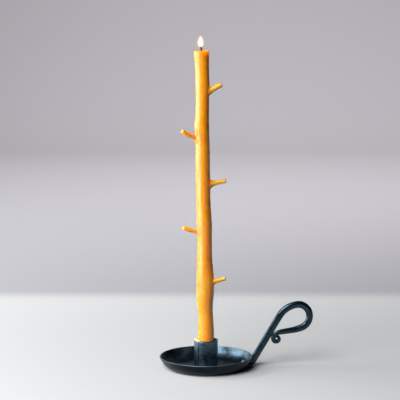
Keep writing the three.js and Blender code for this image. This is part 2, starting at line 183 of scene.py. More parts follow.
lamps = {
    "windowLamp": {
        "place": (-1.35, -0.42, 0.26), "aim": (0, 0, 0.14), "size": (1.2, 0.44),
        "power": 15, "color": (0.93, 0.97, 1)},
    "skyLamp": {
        "place": (-0.90, -0.95, 1.4), "aim": (0, 0, 0.17), "size": (1.4, 1.0),
        "power": 46, "color": (0.97, 0.98, 1)},
    "tableLamp": {
        "place": (-0.64, -0.20, 0.065), "aim": (0, 0, 0.03), "size": (0.5, 0.11),
        "power": 1.2, "color": (0.93, 0.97, 1)},
    "edgeLamp": {
        "place": (-1.15, 0.66, 0.26), "aim": (0, 0, 0.15), "size": (0.9, 0.44),
        "power": 10.5, "color": (0.93, 0.97, 1)},
    "paneLamp": {
        "place": (-1.26, 0.30, 0.78), "aim": (0.05, 0, 0.08), "size": (0.95, 0.38),
        "power": 14, "color": (0.93, 0.97, 1)},
    "topLamp": {
        "place": (-0.6, 0.1, 2.0), "aim": (-0.1, 0, 0), "size": (1.3, 1.3),
        "power": 3, "color": (1, 1, 1)},
    "wallLamp": {
        "place": (0.45, 0.75, 1.7), "aim": (0.35, 1.85, 0.1), "size": (1.4, 0.6),
        "power": 23, "color": (1, 0.99, 1), "spread": 110},
}


def addLamp(name, values):
    place = Vector(values["place"])
    bpy.ops.object.light_add(type="AREA", location=place)
    lamp = bpy.context.object
    lamp.name = name
    lamp.data.shape = "RECTANGLE"
    lamp.data.size, lamp.data.size_y = values["size"]
    lamp.data.energy = values["power"]
    lamp.data.color = values["color"]
    lamp.data.spread = math.radians(values.get("spread", 180))
    lamp.rotation_euler = (Vector(values["aim"]) - place).to_track_quat("-Z", "Y").to_euler()


for lampName, lampValues in lamps.items():
    addLamp(lampName, lampValues)

backdrop = {
    "halfWidth": 9,
    "front": -9,
    "curveStart": 1.9,
    "curveRadius": 0.9,
    "curveSteps": 24,
    "wallHeight": 3.5,
    "drop": -0.0002,
}


def makeBackdrop(values):
    bpy.ops.object.select_all(action="DESELECT")
    depth = values["curveStart"] - values["front"]
    bpy.ops.mesh.primitive_plane_add(size=1, location=(0, values["front"] + depth / 2, values["drop"]))
    sweep = named("backdrop")
    sweep.scale = (2 * values["halfWidth"], depth, 1)
    placeInMesh(sweep)
    bpy.ops.object.mode_set(mode="EDIT")
    bpy.ops.mesh.select_mode(type="EDGE")
    mesh = bmesh.from_edit_mesh(sweep.data)
    for edge in mesh.edges:
        edge.select = all(abs(v.co.y - values["curveStart"]) < 1e-4 for v in edge.verts)
    bmesh.update_edit_mesh(sweep.data)
    bpy.ops.mesh.extrude_edges_move(TRANSFORM_OT_translate={"value": (0, 0, 0)})
    turn = math.pi / 2 / values["curveSteps"]
    step = 2 * values["curveRadius"] * math.sin(turn / 2)
    for bend in range(values["curveSteps"]):
        lift = (bend + 0.5) * turn
        bpy.ops.transform.translate(value=(0, step * math.cos(lift), step * math.sin(lift)))
        bpy.ops.mesh.extrude_edges_move(TRANSFORM_OT_translate={"value": (0, 0, 0)})
    bpy.ops.transform.translate(value=(0, 0, values["wallHeight"]))
    bpy.ops.object.mode_set(mode="OBJECT")
    faceOutwards(sweep)
    smoothBy(sweep, 60)
    sweep.rotation_euler.z = math.radians(-view["turn"])     # square to the camera
    return sweep


sweep = makeBackdrop(backdrop)
print("stage: camera, lamps and backdrop are in")


# Shader maths as expressions

class Wire:
    def __init__(self, tree, socket=None):
        self.tree = tree
        self.socket = socket

    def node(self, kind, sockets=None, settings=None, out=0):
        made = self.tree.nodes.new("ShaderNode" + kind)
        for name, value in (settings or {}).items():
            setattr(made, name, value)
        for name, value in (sockets or {}).items():
            if isinstance(value, Wire):
                self.tree.links.new(value.socket, made.inputs[name])
            else:
                made.inputs[name].default_value = value
        return Wire(self.tree, made.outputs[out])

    def maths(self, operation, *values):
        return self.node("Math", dict(enumerate(values)), {"operation": operation})

    def __add__(self, other):
        return self.maths("ADD", self, other)

    def __sub__(self, other):
        return self.maths("SUBTRACT", self, other)

    def __mul__(self, other):
        return self.maths("MULTIPLY", self, other)

    def __radd__(self, other):
        return self.maths("ADD", other, self)

    def __rsub__(self, other):
        return self.maths("SUBTRACT", other, self)

    def between(self, low, high, toLow=0, toHigh=1):
        sockets = {"Value": self, "From Min": low, "From Max": high, "To Min": toLow, "To Max": toHigh}
        return self.node("MapRange", sockets, {"interpolation_type": "SMOOTHSTEP"})

    def mixed(self, low, high):
        # this wire is the share of the second colour
        sockets = {0: self, 6: low, 7: high}
        return self.node("Mix", sockets, {"data_type": "RGBA"}, out=2)


def newFinish(name):
    material = bpy.data.materials.new(name)
    material.use_nodes = True
    tree = material.node_tree
    tree.nodes.clear()
    start = Wire(tree)
    place = start.node("TexCoord", out=3)
    return material, start, place


def surfaceOf(start, shader):
    output = start.tree.nodes.new("ShaderNodeOutputMaterial")
    start.tree.links.new(shader.socket, output.inputs["Surface"])


def grain(place, scale, detail=3, roughness=0.5, stretch=(1, 1, 1), shift=(0, 0, 0)):
    moved = place.node("Mapping", {"Vector": place, "Location": shift, "Scale": stretch})
    sockets = {"Vector": moved, "Scale": scale, "Detail": detail, "Roughness": roughness}
    return place.node("TexNoise", sockets)


def relief(height, distance, strength=1, normal=None):
    sockets = {"Height": height, "Distance": distance, "Strength": strength}
    if normal is not None:
        sockets["Normal"] = normal
    return height.node("Bump", sockets)


# Finishes

ironValues = {
    "brown": (0.080, 0.076, 0.074, 1),
    "speck": (0.20, 0.30, 0.37, 1),
    "speckShare": 0.5,
    # noise scales, and the noise between which each colour comes in
    "cloudScale": 55,
    "grainScale": 900,
    "speckScale": 1300,
    "cloudBand": (0.38, 0.66),
    "brownBand": (0.58, 0.72),
    "brownClouds": (0.5, 0.7),
    "speckBand": (0.57, 0.68),
    "rough": (0.30, 0.46),
    "roughClouds": (0.3, 0.7),
    "roughGrain": 0.12,
    # bumps: heights in metres, and strengths
    "grainHeight": 0.00006,
    "grainStrength": 0.5,
    "dentScale": 210,
    "dentHeight": 0.0003,
    "dentStrength": 0.35,
    "metallic": 0.96,
    "specular": 0.5,
}

panValues = dict(
    ironValues,
    black=(0.014, 0.025, 0.033, 1),
    blueBlack=(0.085, 0.145, 0.188, 1),
    # painted shade: the outer and under side of the pan kept darker
    below=(0.006, 0.011, 0.015, 1),
    outerPaintedShadeShare=0.92,
    outerPaintedShadeBlend=0.3 * mm,
    # painted highlight along the edge of the rim, in mm under its top
    paintedRimHighlight=(0.30, 0.42, 0.50, 1),
    paintedRimHighlightShare=0.7,
    paintedRimHighlightDepth=(1.3, 0.6),
)
cupValues = dict(
    ironValues,
    black=(0.034, 0.058, 0.075, 1),
    blueBlack=(0.130, 0.215, 0.275, 1),
    rough=(0.24, 0.34),
)
handleValues = dict(
    ironValues,
    black=(0.022, 0.038, 0.050, 1),
    blueBlack=(0.036, 0.061, 0.080, 1),
    rough=(0.20, 0.26),
    speckShare=0.05,
    dentStrength=0.08,
)


def outerPaintedShadeMask(place, sheet, blend):
    # mask of the painted shade: 1 on the outer and under side of the pan, 0 inside it
    across = place.node("SeparateXYZ", {"Vector": place}, out=0)
    deep = place.node("SeparateXYZ", {"Vector": place}, out=1)
    height = place.node("SeparateXYZ", {"Vector": place}, out=2)
    radius = place.maths("SQRT", across * across + deep * deep)
    floorRadius = sheet["floorRadius"] * mm
    outward = place.maths("MAXIMUM", radius, floorRadius) - floorRadius
    upward = height - (sheet["half"] + sheet["bend"]) * mm
    bend = place.maths("SQRT", outward * outward + upward * upward) - sheet["bend"] * mm
    fromRim = (radius - sheet["rimRadius"] * mm) * math.sin(sheet["flare"])
    wall = fromRim - (height - sheet["rimHeight"] * mm) * math.cos(sheet["flare"])
    onWall = place.maths("GREATER_THAN", height, sheet["bendTop"] * mm)
    return (bend + onWall * (wall - bend)).between(-blend, blend)


def ironFinish(name, values, sheet=None):
    material, start, place = newFinish(name)
    clouds = grain(place, values["cloudScale"], detail=5)
    scale = grain(place, values["grainScale"], detail=3, roughness=0.6)
    specks = grain(place, values["speckScale"], detail=1, shift=(0.2, 0.6, 0.1))
    dentSockets = {"Vector": place, "Scale": values["dentScale"], "Smoothness": 0.9}
    dents = place.node("TexVoronoi", dentSockets, {"feature": "SMOOTH_F1"})
    color = clouds.between(*values["cloudBand"]).mixed(values["black"], values["blueBlack"])
    brown = scale.between(*values["brownBand"]) * clouds.between(*values["brownClouds"])
    color = brown.mixed(color, values["brown"])
    speckled = specks.between(*values["speckBand"]) * values["speckShare"]
    color = speckled.mixed(color, values["speck"])
    if sheet:
        # painted shade on the outer and under side of the pan
        below = outerPaintedShadeMask(place, sheet, values["outerPaintedShadeBlend"]) * values["outerPaintedShadeShare"]
        color = below.mixed(color, values["below"])
        # painted highlight: the top edge of the rim made lighter
        height = place.node("SeparateXYZ", {"Vector": place}, out=2)
        low, high = [(sheet["top"] - depth) * mm for depth in values["paintedRimHighlightDepth"]]
        edge = height.between(low, high) * values["paintedRimHighlightShare"]
        color = edge.mixed(color, values["paintedRimHighlight"])
    rough = clouds.between(*values["roughClouds"], *values["rough"])
    rough = rough + (scale - 0.5) * values["roughGrain"]
    dented = relief(dents, values["dentHeight"], values["dentStrength"])
    bumps = relief(scale, values["grainHeight"], values["grainStrength"], dented)
    shader = start.node("BsdfPrincipled", {
        "Base Color": color,
        "Metallic": values["metallic"],
        "Roughness": rough,
        "Specular IOR Level": values["specular"],
        "Normal": bumps,
    })
    surfaceOf(start, shader)
    return material


waxValues = {
    "deep": (0.80, 0.307, 0.0, 1),
    "amber": (0.81, 0.320, 0.0, 1),
    "bloom": (0.83, 0.335, 0.003, 1),
    "bloomShare": 0.25,
    "stub": (0.89, 0.425, 0.008, 1),
    "stubEnd": (0.91, 0.46, 0.04, 1),
    "stubReach": (0.0084, 0.0112),
    "endReach": (0.0195, 0.0225),
    "lean": 0.018,              # of the stem, for each metre of height
    "leanBearing": 170,
    "leanTop": 0.26,
    "glow": (1.0, 0.21, 0.0, 1),
    "glowHeights": (0.3320, 0.3382),
    "glowAcross": (-0.0055, 0.0045),
    "glowStrength": 0.65,
    "scatter": 1.0,
    "scatterRadius": (1.0, 0.10, 0.03),
    "scatterScale": 0.0075,
    "rough": (0.26, 0.30),
    "specular": 0.62,
    "streakScale": 260,
    "streakStretch": (1, 1, 0.12),
    "streakBand": (0.35, 0.65),
    "streakHeight": 0.0004,
    "streakStrength": 0.18,
    "cloudScale": 90,
    "cloudBand": (0.45, 0.75),
    "fineScale": 1500,
    "fineHeight": 0.00005,
    "fineStrength": 0.35,
}


def waxFinish(name, values):
    material, start, place = newFinish(name)
    height = place.node("SeparateXYZ", {"Vector": place}, out=2)
    streaks = grain(place, values["streakScale"], detail=4, stretch=values["streakStretch"])
    clouds = grain(place, values["cloudScale"], detail=3, shift=(0.3, 0.1, 0.7))
    fine = grain(place, values["fineScale"], detail=2)
    amber = streaks.between(*values["streakBand"]).mixed(values["deep"], values["amber"])
    bloom = clouds.between(*values["cloudBand"]) * values["bloomShare"]
    bloomed = bloom.mixed(amber, values["bloom"])
    # thin wax is paler: the stubs, and more so their cut ends
    lean = start.maths("MINIMUM", height, values["leanTop"]) * values["lean"]
    leanTurn = math.radians(values["leanBearing"])
    across = place.node("SeparateXYZ", {"Vector": place}, out=0) - lean * math.cos(leanTurn)
    deep = place.node("SeparateXYZ", {"Vector": place}, out=1) - lean * math.sin(leanTurn)
    reach = start.maths("SQRT", across * across + deep * deep)
    golden = reach.between(*values["stubReach"]).mixed(bloomed, values["stub"])
    ended = reach.between(*values["endReach"]).mixed(golden, values["stubEnd"])
    rough = clouds.between(0.3, 0.7, *values["rough"])
    streaked = relief(streaks, values["streakHeight"], values["streakStrength"])
    bumps = relief(fine, values["fineHeight"], values["fineStrength"], streaked)
    # the flame shows through the lip, most on the shaded side
    glow = height.between(*values["glowHeights"]) * across.between(*values["glowAcross"])
    shader = start.node("BsdfPrincipled", {
        "Base Color": ended,
        "Roughness": rough,
        "Subsurface Weight": values["scatter"],
        "Subsurface Radius": values["scatterRadius"],
        "Subsurface Scale": values["scatterScale"],
        "Specular IOR Level": values["specular"],
        "Emission Color": glow.mixed((0, 0, 0, 1), values["glow"]),
        "Emission Strength": values["glowStrength"],
        "Normal": bumps,
    })
    surfaceOf(start, shader)
    return material


setWaxValues = {
    "pale": (0.66, 0.53, 0.30, 1),
    "golden": (0.60, 0.40, 0.16, 1),
    "scatter": 0.3,
    "scatterRadius": (1.0, 0.5, 0.2),
    "scatterScale": 0.002,
    "rough": (0.28, 0.5),
    "cloudScale": 240,
    "cloudHeight": 0.0005,
    "cloudStrength": 0.3,
    "fineScale": 1400,
    "fineHeight": 0.00004,
    "fineStrength": 0.4,
}


def setWaxFinish(name, values):
    material, start, place = newFinish(name)
    clouds = grain(place, values["cloudScale"], detail=3)
    fine = grain(place, values["fineScale"], detail=2)
    clouded = relief(clouds, values["cloudHeight"], values["cloudStrength"])
    shader = start.node("BsdfPrincipled", {
        "Base Color": clouds.between(0.35, 0.65).mixed(values["pale"], values["golden"]),
        "Roughness": clouds.between(0.3, 0.7, *values["rough"]),
        "Subsurface Weight": values["scatter"],
        "Subsurface Radius": values["scatterRadius"],
        "Subsurface Scale": values["scatterScale"],
        "Normal": relief(fine, values["fineHeight"], values["fineStrength"], clouded),
    })
    surfaceOf(start, shader)
    return material


poolValues = {
    "clear": (0.93, 0.60, 0.16, 1),
    "pale": (1.0, 0.74, 0.30, 1),
    "rough": 0.06,
    "coat": 0.6,
    "scatter": 0.5,
    "scatterRadius": (1.0, 0.5, 0.15),
    "scatterScale": 0.003,
    # painted glow: the pool lit warm by the flame
    "glow": (1.0, 0.5, 0.08, 1),
    "glowStrength": 0.5,
    "rippleScale": 420,
    "rippleHeight": 0.0002,
    "rippleStrength": 0.2,
}


def poolFinish(name, values):
    material, start, place = newFinish(name)
    ripple = grain(place, values["rippleScale"], detail=1)
    shader = start.node("BsdfPrincipled", {
        "Base Color": ripple.between(0.3, 0.7).mixed(values["clear"], values["pale"]),
        "Roughness": values["rough"],
        "Coat Weight": values["coat"],
        "Subsurface Weight": values["scatter"],
        "Subsurface Radius": values["scatterRadius"],
        "Subsurface Scale": values["scatterScale"],
        # painted glow of the flame on the pool
        "Emission Color": values["glow"],
        "Emission Strength": values["glowStrength"],
        "Normal": relief(ripple, values["rippleHeight"], values["rippleStrength"]),
    })
    surfaceOf(start, shader)
    return material


wickValues = {
    "waxed": (0.34, 0.19, 0.07, 1),
    "charred": (0.018, 0.007, 0.003, 1),
    "specular": 0.06,
    # painted glow over the whole wick, standing in for the flame's light on it
    "paintedFlameGlow": (0.12, 0.032, 0.003, 1),
    "ember": (1.0, 0.22, 0.02, 1),
    "charHeights": (0.3378, 0.3396),
    "emberHeights": (0.3430, 0.3443),
    "emberStrength": 1,
    "rough": (0.65, 0.95),
    "fibreScale": 2600,
    "fibreHeight": 0.00012,
    "fibreStrength": 0.7,
}


def wickFinish(name, values):
    material, start, place = newFinish(name)
    height = place.node("SeparateXYZ", {"Vector": place}, out=2)
    fibres = grain(place, values["fibreScale"], detail=3, stretch=(1, 1, 0.35))
    charred = height.between(*values["charHeights"])
    ember = height.between(*values["emberHeights"]) * fibres.between(0.3, 0.6)
    shader = start.node("BsdfPrincipled", {
        "Base Color": charred.mixed(values["waxed"], values["charred"]),
        "Roughness": fibres.between(0.3, 0.7, *values["rough"]),
        "Specular IOR Level": values["specular"],
        # painted glow of the flame over the wick, with the ember at its tip
        "Emission Color": ember.mixed(values["paintedFlameGlow"], values["ember"]),
        "Emission Strength": values["emberStrength"],
        "Normal": relief(fibres, values["fibreHeight"], values["fibreStrength"]),
    })
    surfaceOf(start, shader)
    return material


flameValues = {
    "white": (1.0, 0.95, 0.84, 1),
    "peach": (1.0, 0.62, 0.34, 1),
    "foot": (1.0, 0.45, 0.12, 1),
    "footHeights": (0.3420, 0.3452),
    "tipHeights": (0.3515, 0.3560),
    "tipFade": 0.8,
    "flickerScale": 320,
    # from the inside out: strength, opacity, whiteness
    "shells": {
        "flameCore": (3.0, 0.95, 0.9),
        "flameBody": (1.5, 0.45, 0.5),
        "flameVeil": (1.1, 0.16, 0.2),
        "flameHalo": (1.0, 0.06, 0.0),
    },
}


def flameFinish(name, values):
    material, start, place = newFinish(name)
    strength, opacity, whiteness = values["shells"][name]
    height = place.node("SeparateXYZ", {"Vector": place}, out=2)
    flicker = grain(place, values["flickerScale"], detail=1)
    body = height.between(*values["footHeights"])
    tip = height.between(*values["tipHeights"])
    warm = (whiteness + flicker.between(0.4, 0.8, -0.1, 0.1)).mixed(values["peach"], values["white"])
    color = body.mixed(values["foot"], warm)
    glow = start.node("Emission", {"Color": color, "Strength": strength})
    clear = start.node("BsdfTransparent")
    factor = body * (1 - tip * values["tipFade"]) * opacity
    surfaceOf(start, start.node("MixShader", {0: factor, 1: clear, 2: glow}))
    return material


backdropValues = {
    "table": (0.50, 0.50, 0.50, 1),
    "wall": (0.34, 0.33, 0.35, 1),
    "edge": (0.36, 0.43),               # distance at which the one shade goes over into the other
    "bounce": (0.06, 0.06, 0.06, 1),    # what it throws back onto the candle
    "rough": 0.9,
    "specular": 0.1,
}


def backdropFinish(name, values):
    material, start, place = newFinish(name)
    along = place.node("SeparateXYZ", {"Vector": place}, out=1)
    shade = along.between(*values["edge"]).mixed(values["table"], values["wall"])
    # pale where it is seen, also in metal
    seen = start.node("LightPath", out="Is Camera Ray")
    for ray in ("Is Glossy Ray", "Is Transmission Ray"):
        seen = start.maths("MAXIMUM", seen, start.node("LightPath", out=ray))
    shade = seen.mixed(values["bounce"], shade)
    shader = start.node("BsdfPrincipled", {
        "Base Color": shade,
        "Roughness": values["rough"],
        "Specular IOR Level": values["specular"],
    })
    surfaceOf(start, shader)
    return material


finishes = {
    "cup": ironFinish("cupIron", cupValues),
    "handle": ironFinish("handleIron", handleValues),
    "candle": waxFinish("beeswax", waxValues),
    "setWax": setWaxFinish("setWax", setWaxValues),
    "pool": poolFinish("meltedWax", poolValues),
    "wick": wickFinish("charredCotton", wickValues),
    "flameCore": flameFinish("flameCore", flameValues),
    "flameBody": flameFinish("flameBody", flameValues),
    "flameVeil": flameFinish("flameVeil", flameValues),
    "flameHalo": flameFinish("flameHalo", flameValues),
    "backdrop": backdropFinish("paleSweep", backdropValues),
}
sweep.data.materials.append(finishes["backdrop"])


def dress(piece, finish):
    piece.data.materials.clear()
    piece.data.materials.append(finishes[finish])


def setWorld(color, strength):
    world = bpy.data.worlds.new("paleWorld")
    world.use_nodes = True
    background = world.node_tree.nodes["Background"]
    background.inputs["Color"].default_value = color
    background.inputs["Strength"].default_value = strength
    bpy.context.scene.world = world


setWorld(color=(0.92, 0.96, 1, 1), strength=0.005)
print("stage: finishes are ready")


# Drip pan

pan = {
    "rimRadius": 50,
    "height": 13.7,
    "sheet": 1.6,
    "bendRadius": 14,
    "flare": 60,
    "holeRadius": 4.8,
    "sides": 96,
    "floorRings": (9, 14, 19, 24, 29),
    "bendSteps": 7,
    "flareSteps": 3,
    "dentSize": 9,
    "dentDepth": 0.2,
    "edge": 0.7,
}


def panSheet(values):
    # middle of the sheet, in mm: flat floor, bend, and straight flare up to the rim
    flare = math.radians(values["flare"])
    half = values["sheet"] / 2
    bend = values["bendRadius"] - half
    rimRadius = values["rimRadius"] - half
    rimHeight = values["height"] - half
    bendTop = half + bend * (1 - math.cos(flare))
    run = bend * math.sin(flare) + (rimHeight - bendTop) / math.tan(flare)
    return {
        "flare": flare, "half": half, "bend": bend, "bendTop": bendTop, "floorRadius": rimRadius - run,
        "rimRadius": rimRadius, "rimHeight": rimHeight, "top": values["height"],
    }


def panLine(values, sheet):
    # radii and heights along the middle of the sheet, from the hole to the rim
    rings = (values["holeRadius"], *values["floorRings"], sheet["floorRadius"])
    line = [(radius, sheet["half"]) for radius in rings]
    for step in range(1, values["bendSteps"] + 1):
        angle = sheet["flare"] * step / values["bendSteps"]
        out, up = sheet["bend"] * math.sin(angle), sheet["bend"] * (1 - math.cos(angle))
        line.append((sheet["floorRadius"] + out, sheet["half"] + up))
    lastRadius, lastHeight = line[-1]
    for step in range(1, values["flareSteps"] + 1):
        share = step / values["flareSteps"]
        line.append((
            lastRadius + (sheet["rimRadius"] - lastRadius) * share,
            lastHeight + (sheet["rimHeight"] - lastHeight) * share,
        ))
    return line


def makePan(values):
    sheet = panSheet(values)
    line = panLine(values, sheet)
    finishes["pan"] = ironFinish("panIron", panValues, sheet)
    bpy.ops.object.select_all(action="DESELECT")
    radius, height = line[0]
    bpy.ops.mesh.primitive_circle_add(
        vertices=values["sides"], radius=radius * mm, location=(0, 0, height * mm))
    piece = named("dripPan")
    placeInMesh(piece)
    bpy.ops.object.mode_set(mode="EDIT")
    bpy.ops.mesh.select_all(action="SELECT")
    for nextRadius, nextHeight in line[1:]:
        bpy.ops.mesh.extrude_edges_move(
            TRANSFORM_OT_translate={"value": (0, 0, (nextHeight - height) * mm)})
        grow = nextRadius / radius
        bpy.ops.transform.resize(value=(grow, grow, 1), center_override=(0, 0, nextHeight * mm))
        radius, height = nextRadius, nextHeight
    bpy.ops.object.mode_set(mode="OBJECT")
    faceOutwards(piece)
    refine(piece, "SUBSURF", levels=1, render_levels=1, boundary_smooth="PRESERVE_CORNERS")
    roughen(piece, values["dentSize"] * mm, values["dentDepth"] * mm)
    refine(piece, "SOLIDIFY", thickness=values["sheet"] * mm, offset=0, use_even_offset=True)
    faceOutwards(piece)
    roundEdges(piece, values["edge"] * mm, 4)
    smoothBy(piece)
    dress(piece, "pan")
    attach(piece, "holder")
    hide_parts("drip_pan")


makePan(pan)
print("stage: drip pan raised")


# Candle cup

cup = {
    "outside": 25.4,
    "wall": 1.6,
    "foot": 1.6,
    "height": 29.2,
    "seamBearing": -139,
    "gapAtFoot": 0.12,
    "gapAtMouth": 0.7,
    "sides": 96,
    "rings": 15,
    "dentSize": 7,
    "dentDepth": 0.22,
    "edge": 0.35,
}


def makeCup(values):
    radius = (values["outside"] - values["wall"]) / 2
    middle = values["foot"] + values["height"] / 2
    seam = values["seamBearing"]
    faceTurn = 180 / values["sides"]
    bpy.ops.object.select_all(action="DESELECT")
    bpy.ops.mesh.primitive_cylinder_add(
        vertices=values["sides"], radius=radius * mm, depth=values["height"] * mm,
        end_fill_type="NOTHING", location=(0, 0, middle * mm),
        rotation=(0, 0, math.radians(seam + faceTurn)))
    piece = named("candleCup")
    placeInMesh(piece)
    bpy.ops.object.mode_set(mode="EDIT")
    bpy.ops.mesh.select_mode(type="FACE")
    mesh = bmesh.from_edit_mesh(piece.data)
    for face in mesh.faces:
        face.select = facesBearing(face.calc_center_median(), seam, faceTurn)
    bmesh.update_edit_mesh(piece.data)
    bpy.ops.mesh.delete(type="FACE")
    mesh = bmesh.from_edit_mesh(piece.data)
    for vertex in mesh.verts:
        if vertex.is_boundary and facesBearing(vertex.co, seam, 2 * faceTurn):
            gap = values["gapAtMouth"] if vertex.co.z > middle * mm else values["gapAtFoot"]
            side = math.copysign(1, bearing(seam).cross(vertex.co).z)
            turn = side * math.degrees(gap / 2 / radius)
            vertex.co = bearing(seam + turn, radius * mm, vertex.co.z)
    bmesh.update_edit_mesh(piece.data)
    bpy.ops.mesh.select_mode(type="EDGE")
    mesh = bmesh.from_edit_mesh(piece.data)
    for edge in mesh.edges:
        edge.select = abs(edge.verts[0].co.z - edge.verts[1].co.z) > mm
    bmesh.update_edit_mesh(piece.data)
    bpy.ops.mesh.subdivide(number_cuts=values["rings"])
    bpy.ops.object.mode_set(mode="OBJECT")
    faceOutwards(piece)
    roughen(piece, values["dentSize"] * mm, values["dentDepth"] * mm)
    refine(piece, "SOLIDIFY", thickness=values["wall"] * mm, offset=0, use_even_offset=True)
    faceOutwards(piece)
    roundEdges(piece, values["edge"] * mm, 3)
    smoothBy(piece)
    dress(piece, "cup")
    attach(piece, "holder")
    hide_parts("socket_tube")


makeCup(cup)
print("stage: candle cup rolled")


# Handle

handle = {
    "sides": 20,
    "wallRadius": 45.0,     # outside of the pan where the foot meets it
    "footHeight": 5,
    "footTall": 8.2,
    "footWide": 5.2,
    "bendStep": 9,
    "straightStep": 6,
    # each stroke: a length, or an angle with its radius and end radius,
    # then thickness and width of the bar at the end of the stroke
    "strokes": (
        {"length": 3.0, "tall": 8.2, "wide": 5.2},
        {"angle": 29.35, "radius": 4.5, "tall": 7.8, "wide": 5.2},
        {"angle": 29.35, "radius": 4.5, "tall": 5.5},
        {"length": 53.8, "tall": 5.7},
        {"angle": -51.2, "radius": 25.7, "tall": 5.5},
        {"angle": -165.4, "radius": 13.15, "tall": 5.5},
        {"angle": -15.1, "radius": 39, "tall": 4.7},
        {"length": 13.9, "tall": 4.0},
        {"angle": 85, "radius": 11.8, "endRadius": 3.6, "tall": 3.4},
        {"angle": 190, "radius": 3.6, "endRadius": 2.3, "tall": 2.4},
        {"angle": 120, "radius": 2.3, "endRadius": 0.9, "tall": 1.7},
    ),
    # hammer marks
    "dentSize": 5,
    "dentDepth": 0.15,
    # tenon, peened over inside the pan
    "headPlace": (40.6, 0, 5.4),
    "headWide": 6.6,
    "headTall": 1.5,
    "headTilt": 34,
    "headDentSize": 2.5,
    "headDentDepth": 0.35,
}


def barStations(values):
    # place, heading, thickness and width of the bar, step by step
    place = Vector((values["wallRadius"], 0, values["footHeight"]))
    heading = 0
    tall, wide = values["footTall"], values["footWide"]
    stations = [(place.copy(), heading, tall, wide)]
    for stroke in values["strokes"]:
        turn = math.radians(stroke.get("angle", 0))
        endTall = stroke["tall"]
        endWide = stroke.get("wide", endTall)
        startRadius = stroke.get("radius", 0)
        endRadius = stroke.get("endRadius", startRadius)
        if turn:
            steps = max(2, math.ceil(abs(stroke["angle"]) / values["bendStep"]))
        else:
            steps = max(1, math.ceil(stroke["length"] / values["straightStep"]))
        for step in range(1, steps + 1):
            share = (step - 0.5) / steps
            if turn:
                radius = startRadius + (endRadius - startRadius) * share
                run = 2 * radius * math.sin(abs(turn) / steps / 2)
            else:
                run = stroke["length"] / steps
            towards = heading + turn / steps / 2
            place += Vector((math.cos(towards), 0, math.sin(towards))) * run
            heading += turn / steps
            share = step / steps
            stations.append((
                place.copy(), heading,
                tall + (endTall - tall) * share, wide + (endWide - wide) * share,
            ))
        tall, wide = endTall, endWide
    return stations


def makeHandle(values):
    stations = barStations(values)
    bpy.ops.object.select_all(action="DESELECT")
    place, heading, tall, wide = stations[0]
    bpy.ops.mesh.primitive_circle_add(
        vertices=values["sides"], radius=mm / 2, location=place * mm,
        rotation=(0, math.pi / 2, 0), fill_type="NGON")
    piece = named("handleBar")
    piece.scale = (tall, wide, 1)
    placeInMesh(piece)
    bpy.ops.object.mode_set(mode="EDIT")
    bpy.ops.mesh.select_mode(type="FACE")
    bpy.ops.mesh.select_all(action="SELECT")
    for nextPlace, nextHeading, nextTall, nextWide in stations[1:]:
        bpy.ops.mesh.extrude_region_move(TRANSFORM_OT_translate={"value": (nextPlace - place) * mm})
        centre = nextPlace * mm
        bpy.ops.transform.rotate(value=nextHeading - heading, orient_axis="Y", center_override=centre)
        # squeezed in a frame that stands along the bar
        alongBar = Matrix.Rotation(-nextHeading, 3, "Y")
        bpy.ops.transform.resize(
            value=(1, nextWide / wide, nextTall / tall), orient_matrix=alongBar.transposed(),
            orient_type="GLOBAL", orient_matrix_type="GLOBAL", center_override=centre)
        place, heading, tall, wide = nextPlace, nextHeading, nextTall, nextWide
    bpy.ops.mesh.inset(thickness=tall / 6 * mm)
    bpy.ops.object.mode_set(mode="OBJECT")
    faceOutwards(piece)
    return piece


def makeTenonHead(values):
    bpy.ops.object.select_all(action="DESELECT")
    bpy.ops.mesh.primitive_uv_sphere_add(segments=32, ring_count=16, radius=mm)
    piece = named("tenonHead")
    piece.scale = (values["headTall"], values["headWide"] / 2, values["headWide"] / 2)
    piece.rotation_euler.y = math.radians(values["headTilt"])
    piece.location = Vector(values["headPlace"]) * mm
    placeInMesh(piece)
    roughen(piece, values["headDentSize"] * mm, values["headDentDepth"] * mm)
    smoothBy(piece, 80)
    return piece


bar = makeHandle(handle)
refine(bar, "SUBSURF", levels=2, render_levels=2)
roughen(bar, handle["dentSize"] * mm, handle["dentDepth"] * mm)
smoothBy(bar)
head = makeTenonHead(handle)
for piece, finish in ((bar, "handle"), (head, "pan")):
    dress(piece, finish)
    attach(piece, "holder")
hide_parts("handle")
print("stage: handle forged")


# Candle

